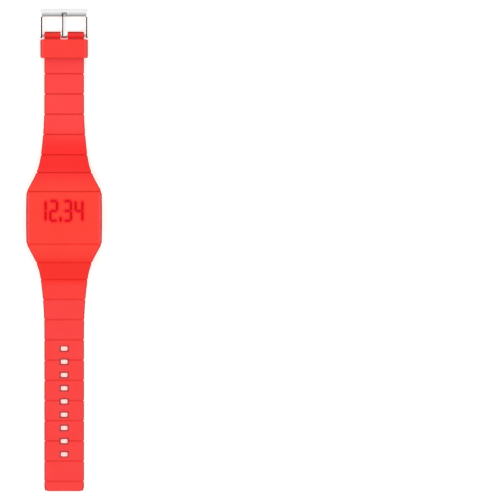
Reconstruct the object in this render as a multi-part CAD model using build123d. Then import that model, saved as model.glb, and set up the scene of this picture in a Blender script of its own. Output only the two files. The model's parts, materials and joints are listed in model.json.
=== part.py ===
"""A silicone LED wristwatch whose time digits shine through its one-piece band.

Lengths are in millimetres and angles in degrees. X runs across the strap, Y along it
towards the buckle and Z up from the surface that the watch lies on, face up and laid
out at its full length. The origin is the middle of the steel back's outer face.
"""
import os
from math import asin, atan2, cos, degrees, pi, radians, sin, sqrt

from build123d import *

# Band, case part: the silicone cover that holds the movement
case_width = 38.4
case_side_bulge = 0.2
case_height = 9.8
case_wall = 2.4
case_rim_height = 0.7
case_foot_round = 1.0
case_shoulder_run = 1.9
case_shoulder_slope = 48
case_block_depth = 1.8
face_length = 26.6
face_corner_round = 0.9
face_crown = 0.5

# Band, strap halves: their flats, their fall from the face and their flare in plan
strap_width = 20.0
strap_thickness = 2.6
tail_reach = 138.2
tail_corner_round = 2.3
flare_outer_radius = 195.0
flare_outer_turn = 8.1
flare_inner_radius = 33.0
flare_inner_turn = 20.4
flare_straight_run = 6.1

# Band, cross grooves between pads, spaced outwards from the face
buckle_side_falls = (9.65, 9.0, 10.3)
tail_side_falls = (9.3, 8.6, 10.05)
groove_pitch = 10.22
groove_width = 0.5
groove_depth = 0.65
groove_side_depth = 0.3
groove_under_depth = 0.3
pad_side_bevel = 0.55
pad_end_bevel = 0.2

# Band, tail holes for the buckle's tongue
hole_count = 9
hole_pitch = 6.69
last_hole_margin = 18.6
hole_width = 3.4
hole_length = 2.1
hole_corner_round = 0.6
hole_edge_bevel = 0.5

# Band, buckle end: a barrel round the spring bar, split for the tongue
pivot_reach = 92.3
barrel_wall = 1.15
barrel_edge_bevel = 0.4
tongue_slot_play = 0.3
tongue_slot_depth = 4.6
tongue_slot_round = 0.8

# Keeper loop, just wide enough for the strap and high enough for two layers of it
keeper_length = 9.4
keeper_wall = 1.2
keeper_side_wall = 1.7
keeper_play = 0.3
keeper_pivot_gap = 2.0
keeper_outer_round = 1.9
keeper_inner_round = 0.6
keeper_edge_bevel = 0.4

# Buckle frame
buckle_side_gap = 1.1
buckle_arm_width = 1.3
buckle_arm_height = 2.4
buckle_arm_overhang = 1.4
buckle_bar_reach = 9.6
buckle_bar_width = 4.0
buckle_end_round = 1.1
buckle_corner_round = 1.8
buckle_inner_round = 0.7
buckle_rim_round = 0.6
buckle_edge_bevel = 0.3
buckle_notch_play = 0.3
buckle_notch_round = 0.4

# Buckle tongue
tongue_width = 2.0
tongue_thickness = 0.9
tongue_eye_width = 3.0
tongue_eye_wall = 0.6
tongue_neck_length = 1.0
tongue_overlap = 1.75
tongue_tip_gap = 0.3
tongue_bed_gap = 0.05
tongue_tip_round = 0.8
tongue_edge_bevel = 0.2

# Spring bar: a tube with a coil between two tips
bar_tube_radius = 0.75
bar_tube_wall = 0.2
bar_tube_length = 18.4
bar_running_gap = 0.05
tip_pin_radius = 0.42
tip_pin_bite = 0.95
tip_pin_gap = 0.06
tip_flange_radius = 0.7
tip_flange_width = 0.3
tip_flange_gap = 0.5
tip_shaft_gap = 0.05
tip_shaft_bite = 1.7
coil_gap = 0.08
coil_wire_radius = 0.1
coil_wire_sides = 6
coil_turns = 7

# Movement housing: a tub that opens downwards
module_width = 33.0
module_length = 29.2
module_corner = 5.0
module_height = 7.1
module_wall = 2.0
module_roof = 0.8
module_edge_bevel = 0.5
module_gap = 0.1
rib_depth = 0.6
rib_rise = 1.1
rib_height = 1.0
corner_boss_radius = 1.9

# Display window and press button in the housing's roof
window_width = 22.4
window_length = 12.4
window_corner = 1.0
window_fit = 0.05
press_offset = 8.4
press_width = 13.0
press_length = 5.6
press_corner = 1.6
press_fit = 0.15
press_flange = 0.7
press_flange_height = 0.35

# Steel back, its gasket and its screws
back_thickness = 0.9
back_inset = 0.35
back_edge_chamfer = 0.3
gasket_width = 0.9
gasket_height = 0.6
gasket_inset = 0.55
gasket_gap = 0.05
back_screw_radius = 0.6
back_screw_length = 3.6
back_screw_head_radius = 1.2
back_screw_head_height = 0.5
back_screw_sink = 0.05
screw_gap = 0.06
screw_slot_width = 0.35
screw_slot_depth = 0.2

# Cell, its tray and its contacts
cell_radius = 10.0
cell_height = 3.2
cell_cap_step = 0.3
cell_cap_inset = 0.9
cell_edge_bevel = 0.3
cell_play = 0.15
insulator_thickness = 0.1
insulator_inset = 0.5
tray_gap = 0.2
contact_thickness = 0.25
contact_gap = 0.05
side_contact_width = 4.0
side_contact_foot = 1.4
side_contact_rise = 0.6
leaf_contact_width = 3.0
leaf_contact_length = 9.0
leaf_contact_foot = 3.0
leaf_contact_step = 1.5

# Main board and what it carries
board_thickness = 0.8
board_room = 0.5
board_gap = 0.25
chip_radius = 2.6
chip_height = 0.8
chip_round = 0.6
chip_offset = 8.2
crystal_radius = 0.75
crystal_length = 6.0
crystal_offset = 9.3
crystal_lead_radius = 0.15
crystal_lead_length = 1.2
crystal_lead_spread = 0.35
small_part_length = 1.0
small_part_width = 0.5
small_part_height = 0.4
small_part_pitch = 1.1
small_part_offset = 3.75
resistor_count = 8
capacitor_scale = 1.6
capacitor_offset = 6.4
board_screw_offset = 12.3
board_screw_radius = 0.45
board_screw_head_radius = 0.9
board_screw_head_height = 0.4
board_screw_bite = 1.3
board_boss_wall = 0.45

# LED display: four digits, the first of them a bare one, with a point in the middle
digits_offset = 3.6
digit_height = 9.75
digit_width = 3.4
digit_pitch = 5.75
point_gap = 1.3
stroke_width = 0.85
stroke_gap = 0.2
point_length = 2.4
point_rise = 0.65
segment_depth = 1.3
segment_fit = 0.02
display_margin = 0.5
display_corner = 0.3

# Tactile switch under the press button
switch_width = 3.5
switch_length = 3.0
switch_height = 1.0
switch_corner = 0.3
switch_floor = 0.2
stem_radius = 0.8
stem_fit = 0.08
stem_foot_gap = 0.35

# One overrun for every cut that passes right through
overrun = 1.0

# Angles that tell a pad's top and underside from its sides, and an edge from a smooth joint
steepest_surface = 60
bevel_angle = 45
shoulder_spare_turn = 8
least_sharp_angle = 20

# Heights that follow from the sizes above
face_half = face_length / 2
face_edge_height = case_height - face_crown
strap_lift = keeper_wall + keeper_play
pivot_height = strap_lift + strap_thickness / 2
module_top = back_thickness + module_height
roof_underside = module_top - module_roof
cell_bottom = back_thickness + insulator_thickness
cell_top = cell_bottom + cell_height
board_bottom = cell_top + board_room
board_top = board_bottom + board_thickness
display_height = roof_underside - board_top
press_bottom = roof_underside - press_flange_height

# Places across and along the strap that follow from them
strap_half = strap_width / 2
bar_bore_radius = bar_tube_radius + bar_running_gap
barrel_radius = bar_bore_radius + barrel_wall
tongue_eye_radius = bar_bore_radius + tongue_eye_wall
tongue_top = pivot_height + tongue_eye_radius
tongue_bottom = tongue_top - tongue_thickness
arm_inner_x = strap_half + buckle_side_gap
arm_outer_x = arm_inner_x + buckle_arm_width
bar_inner_y = pivot_reach + buckle_bar_reach
bar_outer_y = bar_inner_y + buckle_bar_width
pin_hole_radius = tip_pin_radius + tip_pin_gap
flange_outer_x = arm_inner_x - tip_flange_gap
flange_inner_x = flange_outer_x - tip_flange_width
tube_bore_radius = bar_tube_radius - bar_tube_wall
tip_shaft_inner_x = bar_tube_length / 2 - tip_shaft_bite
pocket_width = module_width + 2 * module_gap
pocket_length = module_length + 2 * module_gap
case_reach = pocket_length / 2 + case_wall
tub_width = module_width - 2 * module_wall
tub_length = module_length - 2 * module_wall
tub_corner = module_corner - module_wall
keeper_inner_height = 2 * strap_thickness + 2 * keeper_play


def slab(width, length, height, corner, bottom, x=0, y=0):
    """A flat block with rounded upright corners."""
    return Pos(x, y, bottom) * extrude(RectangleRounded(width, length, corner), height)


def post(radius, height, bottom, x=0, y=0):
    """An upright cylinder."""
    return Pos(x, y, bottom) * extrude(Circle(radius), height)


def cross_rod(radius, start_x, end_x):
    """A cylinder on the spring bar's axis."""
    middle = Pos((start_x + end_x) / 2, pivot_reach, pivot_height)
    return middle * Cylinder(radius, abs(end_x - start_x), rotation=(0, 90, 0))


def groove_reaches(falls, end_reach):
    """How far from the face's middle each cross groove of one strap half lies."""
    places = [face_half]
    for fall in falls:
        places.append(places[-1] + fall)
    while places[-1] + groove_pitch < end_reach:
        places.append(places[-1] + groove_pitch)
    return places


def face_slope():
    """The angle, in radians, at which the crowned face meets its end grooves."""
    return 2 * atan2(face_crown, face_half)


def fall_arcs(run, fall, slope):
    """Turn and radius of two equal arcs that fall by fall over run and end level."""
    lean = atan2(run, fall)
    share = (run * (1 + cos(slope)) + fall * sin(slope)) / (2 * sqrt(run**2 + fall**2))
    turn = pi - asin(share) - lean
    return turn, run / (2 * sin(turn) - sin(slope))


def bend(start, heading, radius, turn):
    """An arc from a start point; a negative turn is clockwise."""
    return JernArc(start, heading, radius, degrees(turn))


def strap_side_view(falls, lift, end_reach, top_drop, under_rise):
    """One strap half seen from its side: it leaves the face, falls and lies flat."""
    slope = face_slope()
    turn, radius = fall_arcs(sum(falls), face_edge_height - lift - strap_thickness, slope)
    heading = Vector(cos(slope), -sin(slope))
    face_edge = Vector(face_half, face_edge_height)
    top_start = face_edge - Vector(0, top_drop)
    inward = Vector(-sin(slope), -cos(slope)) * strap_thickness
    under_start = face_edge + inward + Vector(0, under_rise)
    upper_bend = bend(top_start, heading, radius, slope - turn)
    upper_flat = bend(upper_bend @ 1, upper_bend % 1, radius, turn)
    under_bend = bend(under_start, heading, radius - strap_thickness, slope - turn)
    under_flat = bend(under_bend @ 1, under_bend % 1, radius + strap_thickness, turn)
    top_end = Vector(end_reach, lift + strap_thickness - top_drop)
    under_end = Vector(end_reach, lift + under_rise)
    return make_face(
        [
            upper_bend,
            upper_flat,
            Line(upper_flat @ 1, top_end),
            Line(top_end, under_end),
            Line(under_end, under_flat @ 1),
            under_flat,
            under_bend,
            Line(under_start, top_start),
        ]
    )


def case_side_view(top_drop, under_rise):
    """The case seen from its side: a crowned face over a block that holds the pocket."""
    edge = face_edge_height - top_drop
    shoulder = face_edge_height - case_block_depth
    foot = case_rim_height + under_rise
    crown_top = (0, case_height - top_drop)
    crown = ThreePointArc((-face_half, edge), crown_top, (face_half, edge))
    walls = Polyline(
        (face_half, edge),
        (face_half, shoulder),
        (case_reach, shoulder),
        (case_reach, foot),
        (-case_reach, foot),
        (-case_reach, shoulder),
        (-face_half, shoulder),
        (-face_half, edge),
    )
    return make_face([crown, *walls.edges()])


def band_side_view(top_drop, under_rise):
    """The whole band seen from its side, with the case's ends rounded into the strap."""
    insets = top_drop, under_rise
    tail = strap_side_view(tail_side_falls, 0, tail_reach, *insets)
    buckle_end = strap_side_view(buckle_side_falls, strap_lift, pivot_reach, *insets)
    view = case_side_view(*insets) + buckle_end + mirror(tail, Plane.YZ)
    ends = [v for v in view.vertices() if abs(abs(v.X) - case_reach) < groove_width]
    return fillet(ends, case_foot_round)


def strap_plan(end_reach):
    """One strap half seen from above: parallel, then flared by two arcs and a line."""
    outer_sine = sin(radians(flare_outer_turn))
    whole_sine = sin(radians(flare_outer_turn + flare_inner_turn))
    arcs_run = flare_outer_radius * outer_sine + flare_inner_radius * (whole_sine - outer_sine)
    flare_start = Vector(strap_half, face_half + flare_straight_run + arcs_run)
    outer = JernArc(flare_start, (0, -1), flare_outer_radius, flare_outer_turn)
    inner = JernArc(outer @ 1, outer % 1, flare_inner_radius, flare_inner_turn)
    heading = inner % 1
    lean = heading.X / heading.Y
    shoulder = Vector((inner @ 1).X - flare_straight_run * lean, face_half)
    half = make_face(
        [
            Line((0, end_reach), (strap_half, end_reach)),
            Line((strap_half, end_reach), flare_start),
            outer,
            inner,
            Line(inner @ 1, shoulder),
            Line(shoulder, (0, face_half)),
            Line((0, face_half), (0, end_reach)),
        ]
    )
    return half + mirror(half, Plane.YZ)


def case_plan():
    """The case seen from above, with gently bulging sides."""
    edge = case_width / 2 - case_side_bulge
    right = ThreePointArc((edge, -face_half), (case_width / 2, 0), (edge, face_half))
    left = ThreePointArc((-edge, face_half), (-case_width / 2, 0), (-edge, -face_half))
    return make_face(
        [
            right,
            Line((edge, face_half), (-edge, face_half)),
            left,
            Line((-edge, -face_half), (edge, -face_half)),
        ]
    )


def band_blank(side_inset=0, top_drop=0, under_rise=0):
    """The band without grooves: its plan raised and cut to its side view."""
    tail_plan = mirror(strap_plan(tail_reach), Plane.XZ)
    plan = case_plan() + strap_plan(pivot_reach) + tail_plan
    if side_inset:
        plan = offset(plan, -side_inset)
    view = Plane.YZ * band_side_view(top_drop, under_rise)
    return extrude(plan, case_height + overrun) & extrude(view, case_width, both=True)


def face_roof():
    """A block whose top is the face's crown with shoulders that fall to the sides."""
    axis = Axis((0, 0, case_height - face_half / sin(face_slope())), (1, 0, 0))
    flat_half = case_width / 2 - case_shoulder_run
    radius = case_shoulder_run / sin(radians(case_shoulder_slope))
    turn = case_shoulder_slope + shoulder_spare_turn
    right = JernArc((flat_half, case_height), (1, 0), radius, -turn)
    left = JernArc((-flat_half, case_height), (-1, 0), radius, turn)
    half = (right @ 1).X
    section = make_face(
        [
            Line((-flat_half, case_height), (flat_half, case_height)),
            right,
            Line(right @ 1, (half, 0)),
            Line((half, 0), (-half, 0)),
            Line((-half, 0), left @ 1),
            left,
        ]
    )
    reach = 2 * degrees(face_slope())
    return revolve((Plane.XZ * section).rotate(axis, -reach), axis, 2 * reach)


def shared_edges(faces, others):
    """The edges where one group of faces meets another."""
    borders = [edge for face in others for edge in face.edges()]
    return [edge for face in faces for edge in face.edges() if edge in borders]


def top_rim(piece):
    """The edges round the surfaces of a piece that face up."""
    level_share = cos(radians(steepest_surface))
    inside = [face for face in piece.faces() if face.normal_at().Z > level_share]
    outside = [face for face in piece.faces() if face not in inside]
    return shared_edges(inside, outside)


def upright_corners(piece, y):
    """The piece's upright edges in the cross plane at y."""
    uprights = piece.edges().filter_by(Axis.Z)
    return [edge for edge in uprights if abs(edge.center().Y - y) < groove_width / 2]


def stretch(blank, low_y, high_y):
    """The part of the band between two cross planes."""
    middle = Pos(0, (low_y + high_y) / 2, case_height / 2)
    return blank & middle * Box(2 * case_width, high_y - low_y, 2 * case_height)


def face_pad(piece):
    """The crowned pad over the display, with rounded corners."""
    end_y = face_half - groove_width / 2
    piece = piece & face_roof()
    for y in (-end_y, end_y):
        piece = fillet(upright_corners(piece, y), face_corner_round)
    return chamfer(top_rim(piece), pad_end_bevel)


def strap_pad(piece, grooves):
    """A strap pad, bevelled along its sides and finely round its ends at the grooves."""
    rim = [e for e in top_rim(piece) if all(abs(e.center().Y - y) > groove_width for y in grooves)]
    piece = chamfer([e for e in rim if e.center().Y < pivot_reach - groove_width], pad_side_bevel)
    for y in grooves:
        end = min(piece.faces().filter_by(Axis.Y), key=lambda face: abs(face.center().Y - y))
        piece = chamfer(end.edges().sort_by(Axis.Z)[1:], pad_end_bevel)
    return piece


def band_pads(blank):
    """All the pads, from the tail's end to the buckle."""
    least_end_pad = tail_corner_round + 2 * groove_width
    tail = groove_reaches(tail_side_falls, tail_reach - least_end_pad)
    buckle_end = groove_reaches(buckle_side_falls, pivot_reach - barrel_radius)
    grooves = [-y for y in reversed(tail)] + buckle_end
    half = groove_width / 2
    tail_end = stretch(blank, -tail_reach, grooves[0] - half)
    tail_end = fillet(upright_corners(tail_end, -tail_reach), tail_corner_round)
    pads = [strap_pad(tail_end, grooves[:1])]
    for low, high in zip(grooves, grooves[1:]):
        piece = stretch(blank, low + half, high - half)
        is_face = low < 0 < high
        pads.append(face_pad(piece) if is_face else strap_pad(piece, (low, high)))
    pads.append(strap_pad(stretch(blank, grooves[-1] + half, pivot_reach), grooves[-1:]))
    return pads


def tail_hole():
    """The cutter of a hole for the tongue, with a bevelled mouth."""
    through = slab(
        hole_width,
        hole_length,
        strap_thickness + overrun,
        hole_corner_round,
        -overrun,
    )
    outline = RectangleRounded(
        hole_width + 2 * hole_edge_bevel,
        hole_length + 2 * hole_edge_bevel,
        hole_corner_round + hole_edge_bevel,
    )
    mouth = extrude(outline, hole_edge_bevel, dir=(0, 0, -1), taper=bevel_angle)
    return through + Pos(0, 0, strap_thickness) * mouth


def tail_holes():
    """The cutters of the tongue's holes through the tail."""
    hole = tail_hole()
    first_y = -tail_reach + last_hole_margin
    return [Pos(0, first_y + index * hole_pitch, 0) * hole for index in range(hole_count)]


def tongue_slot():
    """The cutter that splits the buckle end for the tongue's eye."""
    width = tongue_eye_width + 2 * tongue_slot_play
    length = tongue_slot_depth + barrel_radius + overrun
    y = pivot_reach - tongue_slot_depth + length / 2
    return slab(width, length, case_height, tongue_slot_round, 0, y=y)


def module_pocket():
    """The cutter that hollows the case for the housing and its retaining rib."""
    corner = module_corner + module_gap
    bottom = case_rim_height - overrun
    hollow = slab(pocket_width, pocket_length, module_top + module_gap - bottom, corner, bottom)
    rib = slab(
        pocket_width + 2 * rib_depth,
        pocket_length + 2 * rib_depth,
        rib_height + 2 * module_gap,
        corner + rib_depth,
        back_thickness + rib_rise - module_gap,
    )
    return hollow + rib


def silicone_band():
    """Both strap halves and the case cover, moulded in one piece."""
    blank = band_blank()
    core = band_blank(groove_side_depth, groove_depth, groove_under_depth)
    barrel = cross_rod(barrel_radius, -strap_half, strap_half)
    barrel = chamfer(barrel.edges().filter_by(GeomType.CIRCLE), barrel_edge_bevel)
    bore = cross_rod(bar_bore_radius, -strap_width, strap_width)
    band = core + [*band_pads(blank), barrel]
    return band - [*tail_holes(), tongue_slot(), module_pocket(), bore]


def keeper_loop():
    """The silicone loop that holds the strap's free end down."""
    width = strap_width + 2 * keeper_play
    outer = RectangleRounded(
        width + 2 * keeper_side_wall,
        keeper_inner_height + 2 * keeper_wall,
        keeper_outer_round,
    )
    section = outer - RectangleRounded(width, keeper_inner_height, keeper_inner_round)
    middle = Pos(0, keeper_wall + keeper_inner_height / 2)
    loop = extrude(Plane.XZ * middle * section, keeper_length)
    ends = [face.outer_wire().edges() for face in loop.faces().filter_by(Axis.Y)]
    loop = chamfer([edge for edges in ends for edge in edges], keeper_edge_bevel)
    return Pos(0, pivot_reach - keeper_pivot_gap, 0) * loop


def buckle_frame():
    """The steel frame: two arms on the spring bar and a bar that the tongue rests on."""
    start_y = pivot_reach - buckle_arm_overhang
    length = bar_outer_y - start_y
    bottom = pivot_height - buckle_arm_height / 2
    outer = slab(
        2 * arm_outer_x, 2 * length, buckle_arm_height, buckle_corner_round, bottom, y=start_y
    )
    inner = slab(
        2 * arm_inner_x,
        2 * length,
        buckle_arm_height,
        buckle_inner_round,
        bottom,
        y=bar_inner_y - length,
    )
    side_view = Plane.YZ * Pos(start_y + length, pivot_height)
    side_view = side_view * RectangleRounded(2 * length, buckle_arm_height, buckle_end_round)
    frame = (outer - inner) & extrude(side_view, 2 * arm_outer_x, both=True)
    arm_middle_x = arm_inner_x + buckle_arm_width / 2
    bar_middle_y = bar_inner_y + buckle_bar_width / 2
    middles = [(edge, edge @ 0.5) for edge in sharp_edges(frame)]
    outside = [e for e, m in middles if abs(m.X) > arm_middle_x or m.Y > bar_middle_y]
    frame = fillet(outside, buckle_rim_round)
    frame = chamfer(sharp_edges(frame), buckle_edge_bevel)
    reach = tongue_overlap + tongue_tip_gap
    notch = slab(
        tongue_width + 2 * buckle_notch_play,
        reach + overrun,
        buckle_arm_height,
        buckle_notch_round,
        tongue_bottom - tongue_bed_gap,
        y=bar_inner_y + (reach - overrun) / 2,
    )
    holes = cross_rod(pin_hole_radius, -2 * arm_outer_x, 2 * arm_outer_x)
    return frame - notch - holes


def buckle_tongue():
    """The tongue: an eye on the spring bar and a rod that lies in the bar's notch."""
    tip_y = bar_inner_y + tongue_overlap
    neck_y = pivot_reach + tongue_eye_radius
    rod_y = neck_y + tongue_neck_length
    eye_half = tongue_eye_width / 2
    rod_half = tongue_width / 2
    right = [
        (eye_half, pivot_reach - tongue_eye_radius),
        (eye_half, neck_y),
        (rod_half, rod_y),
        (rod_half, tip_y),
    ]
    left = [(-x, y) for x, y in reversed(right)]
    plan = Polygon(*right, *left, align=None)
    tip = [v for v in plan.vertices() if v.Y > bar_inner_y]
    plan = fillet(tip, tongue_tip_round)
    rod_middle = Pos((pivot_reach + tip_y) / 2, (tongue_bottom + tongue_top) / 2)
    rod_view = rod_middle * Rectangle(tip_y - pivot_reach, tongue_thickness)
    eye_view = Pos(pivot_reach, pivot_height) * Circle(tongue_eye_radius)
    side_view = Plane.YZ * (eye_view + rod_view)
    tongue = extrude(plan, case_height) & extrude(side_view, tongue_eye_width, both=True)
    rod_edges = [edge for edge in sharp_edges(tongue) if (edge @ 0.5).Y > neck_y]
    tongue = chamfer(rod_edges, tongue_edge_bevel)
    return tongue - cross_rod(bar_bore_radius, -strap_half, strap_half)


def spring_bar_tube():
    """The hollow bar through the barrel, on which the tongue turns."""
    half = bar_tube_length / 2
    return cross_rod(bar_tube_radius, -half, half) - cross_rod(
        tube_bore_radius, -strap_half, strap_half
    )


def spring_bar_tip():
    """The right-hand tip: a shaft in the tube, a flange and a pin in the buckle's arm."""
    shaft = cross_rod(tube_bore_radius - tip_shaft_gap, tip_shaft_inner_x, flange_inner_x)
    flange = cross_rod(tip_flange_radius, flange_inner_x, flange_outer_x)
    pin = cross_rod(tip_pin_radius, flange_outer_x, arm_inner_x + tip_pin_bite)
    return shaft + flange + pin


def spring_bar_coil():
    """The coil that pushes the two tips apart."""
    half = tip_shaft_inner_x - tip_shaft_gap - coil_wire_radius
    radius = tube_bore_radius - coil_gap - coil_wire_radius
    start = (-half, pivot_reach, pivot_height)
    path = Helix(2 * half / coil_turns, 2 * half, radius, center=start, direction=(1, 0, 0))
    section = Plane(path @ 0, z_dir=path % 0) * RegularPolygon(coil_wire_radius, coil_wire_sides)
    return sweep(section, path, is_frenet=True)


def corner_bosses(gap=0):
    """Round-nosed blocks in the tub's corners, full height, grown by the gap."""
    size = 2 * corner_boss_radius + module_wall / 2
    x = tub_width / 2 - 2 * corner_boss_radius + size / 2
    y = tub_length / 2 - 2 * corner_boss_radius + size / 2
    height = roof_underside - back_thickness
    grown = size + 2 * gap
    corner = corner_boss_radius + gap
    return [
        slab(grown, grown, height, corner, back_thickness, side * x, end * y)
        for side in (-1, 1)
        for end in (-1, 1)
    ]


def back_screw_places():
    """Where the four screws of the back sit, in the corner bosses."""
    x = tub_width / 2 - corner_boss_radius
    y = tub_length / 2 - corner_boss_radius
    return [(side * x, end * y) for side in (-1, 1) for end in (-1, 1)]


def board_screw_places():
    """Where the two screws of the main board sit, beside the display."""
    return [(side * board_screw_offset, digits_offset) for side in (-1, 1)]


def ring(inset, wall, height, bottom):
    """A frame that follows the housing's outline, inset from it."""
    width = module_width - 2 * inset
    length = module_length - 2 * inset
    outer = slab(width, length, height, module_corner - inset, bottom)
    inner_corner = module_corner - inset - wall
    return outer - slab(width - 2 * wall, length - 2 * wall, height, inner_corner, bottom)


def roof_opening(width, length, corner, y):
    """The cutter of an opening through the housing's roof."""
    return slab(width, length, module_roof + overrun, corner, roof_underside, y=y)


def module_housing():
    """The plastic tub that holds the movement and is held in the band by its rib."""
    block = slab(module_width, module_length, module_height, module_corner, back_thickness)
    shell = chamfer(block.edges().group_by(Axis.Z)[-1], module_edge_bevel)
    tub_depth = module_height - module_roof + overrun
    tub = slab(tub_width, tub_length, tub_depth, tub_corner, back_thickness - overrun)
    rib = slab(
        module_width + 2 * rib_depth,
        module_length + 2 * rib_depth,
        rib_height,
        module_corner + rib_depth,
        back_thickness + rib_rise,
    )
    corners = [boss & block for boss in corner_bosses()]
    screw_bore = board_screw_radius + screw_gap
    board_bosses = [
        post(screw_bore + board_boss_wall, display_height, board_top, x, y)
        for x, y in board_screw_places()
    ]
    gasket_groove = ring(
        gasket_inset - gasket_gap,
        gasket_width + 2 * gasket_gap,
        gasket_height + gasket_gap + overrun,
        back_thickness - overrun,
    )
    back_bore_depth = back_screw_sink + back_screw_head_height + back_screw_length + screw_gap
    back_bores = [
        post(back_screw_radius + screw_gap, back_bore_depth, 0, x, y)
        for x, y in back_screw_places()
    ]
    board_bores = [
        post(screw_bore, board_screw_bite + screw_gap, board_top, x, y)
        for x, y in board_screw_places()
    ]
    window = roof_opening(window_width, window_length, window_corner, digits_offset)
    press = roof_opening(press_width, press_length, press_corner, -press_offset)
    housing = (shell + rib - tub) + [*corners, *board_bosses]
    return housing - [gasket_groove, *back_bores, *board_bores, window, press]


def display_window():
    """The clear plate over the display, flush in the housing's roof."""
    return slab(
        window_width - 2 * window_fit,
        window_length - 2 * window_fit,
        module_roof,
        window_corner - window_fit,
        roof_underside,
        y=digits_offset,
    )


def press_button():
    """The plate under the lower half of the face, which a finger pushes down."""
    plate = slab(
        press_width - 2 * press_fit,
        press_length - 2 * press_fit,
        module_top - press_bottom,
        press_corner - press_fit,
        press_bottom,
        y=-press_offset,
    )
    flange = slab(
        press_width + 2 * press_flange,
        press_length + 2 * press_flange,
        press_flange_height,
        press_corner + press_flange,
        press_bottom,
        y=-press_offset,
    )
    return plate + flange


def tact_switch_body():
    """The switch's case on the main board, bored for its stem."""
    case = slab(
        switch_width, switch_length, switch_height, switch_corner, board_top, y=-press_offset
    )
    bore_bottom = board_top + switch_floor
    return case - post(stem_radius + stem_fit, switch_height, bore_bottom, y=-press_offset)


def tact_switch_stem():
    """The switch's stem, which the press button rests on."""
    bottom = board_top + switch_floor + stem_foot_gap
    return post(stem_radius, press_bottom - bottom, bottom, y=-press_offset)


def case_back():
    """The steel plate that closes the housing, countersunk for its screws."""
    plate = slab(
        module_width - 2 * back_inset,
        module_length - 2 * back_inset,
        back_thickness,
        module_corner - back_inset,
        0,
    )
    plate = chamfer(plate.edges().group_by(Axis.Z)[0], back_edge_chamfer)
    seat = back_screw_sink + back_screw_head_height
    for x, y in back_screw_places():
        plate -= post(back_screw_head_radius + screw_gap, seat + overrun, -overrun, x, y)
        plate -= post(back_screw_radius + screw_gap, back_thickness + overrun, 0, x, y)
    return plate


def slotted_screw(head_radius, head_height, shaft_radius, shaft_length, bottom, x, y):
    """A screw that is driven from below: a slotted head and a plain shaft."""
    head = post(head_radius, head_height, bottom, x, y)
    shaft = post(shaft_radius, shaft_length, bottom + head_height, x, y)
    slot_middle = Pos(x, y, bottom)
    slot = slot_middle * Box(2 * head_radius, screw_slot_width, 2 * screw_slot_depth)
    return head + shaft - slot


def case_back_screws():
    """The four screws that hold the back."""
    sizes = (
        back_screw_head_radius,
        back_screw_head_height,
        back_screw_radius,
        back_screw_length,
        back_screw_sink,
    )
    return Compound([slotted_screw(*sizes, x, y) for x, y in back_screw_places()])


def board_screws():
    """The two screws that hold the main board under the housing's bosses."""
    sizes = (
        board_screw_head_radius,
        board_screw_head_height,
        board_screw_radius,
        board_thickness + board_screw_bite,
        board_bottom - board_screw_head_height,
    )
    return Compound([slotted_screw(*sizes, x, y) for x, y in board_screw_places()])


def back_gasket():
    """The rubber ring in the housing's rim."""
    return ring(gasket_inset, gasket_width, gasket_height, back_thickness)


def battery_cell():
    """A button cell, its can down and its cap up."""
    can = post(cell_radius, cell_height - cell_cap_step, cell_bottom)
    can = chamfer(can.edges().group_by(Axis.Z)[0], cell_edge_bevel)
    return can + post(cell_radius - cell_cap_inset, cell_height, cell_bottom)


def insulator_film():
    """The film between the cell and the steel back."""
    return post(cell_radius - insulator_inset, insulator_thickness, back_thickness)


def side_contact(width, gap=0):
    """The positive contact's shape: a strip beside the cell with a foot on the board."""
    inner_y = cell_radius + contact_gap
    strip_bottom = cell_bottom + side_contact_rise
    strip_height = board_bottom - strip_bottom
    strip = Box(width, contact_thickness + gap, strip_height)
    foot = Box(width, side_contact_foot + gap, contact_thickness + gap)
    strip_place = Pos(0, inner_y + (contact_thickness + gap) / 2, board_bottom - strip_height / 2)
    foot_place = Pos(
        0,
        inner_y + (side_contact_foot + gap) / 2,
        board_bottom - (contact_thickness + gap) / 2,
    )
    return strip_place * strip + foot_place * foot


def battery_positive_contact():
    """The strip that touches the can's side and carries its pole to the board."""
    return side_contact(side_contact_width)


def battery_negative_contact():
    """The leaf under the board, stepped down on to the cell's cap."""
    start = -leaf_contact_length / 2
    step_start = start + leaf_contact_foot
    step_end = step_start + leaf_contact_step
    low = cell_top + contact_thickness
    profile = Polyline(
        (start, board_bottom),
        (step_start, board_bottom),
        (step_end, low),
        (start + leaf_contact_length, low),
        (start + leaf_contact_length, cell_top),
        (step_end, cell_top),
        (step_start, board_bottom - contact_thickness),
        (start, board_bottom - contact_thickness),
        (start, board_bottom),
    )
    return extrude(Plane.XZ * make_face(profile), leaf_contact_width / 2, both=True)


def battery_holder():
    """The tray round the cell, from the back up to the main board."""
    tray = slab(
        tub_width - 2 * tray_gap,
        tub_length - 2 * tray_gap,
        board_bottom - back_thickness,
        tub_corner - tray_gap,
        back_thickness,
    )
    cell_bore = post(cell_radius + cell_play, board_bottom, back_thickness)
    recess_height = board_screw_head_height + tray_gap
    recesses = [
        post(board_screw_head_radius + tray_gap, recess_height, board_bottom - recess_height, x, y)
        for x, y in board_screw_places()
    ]
    contact_slot = side_contact(side_contact_width + 2 * tray_gap, tray_gap)
    return tray - [cell_bore, contact_slot, *corner_bosses(tray_gap), *recesses]


def main_board():
    """The circuit board, between the tray and the housing's bosses."""
    board = slab(
        tub_width - 2 * board_gap,
        tub_length - 2 * board_gap,
        board_thickness,
        tub_corner - board_gap,
        board_bottom,
    )
    holes = [
        post(board_screw_radius + screw_gap, board_thickness, board_bottom, x, y)
        for x, y in board_screw_places()
    ]
    return board - [*corner_bosses(board_gap), *holes]


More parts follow.
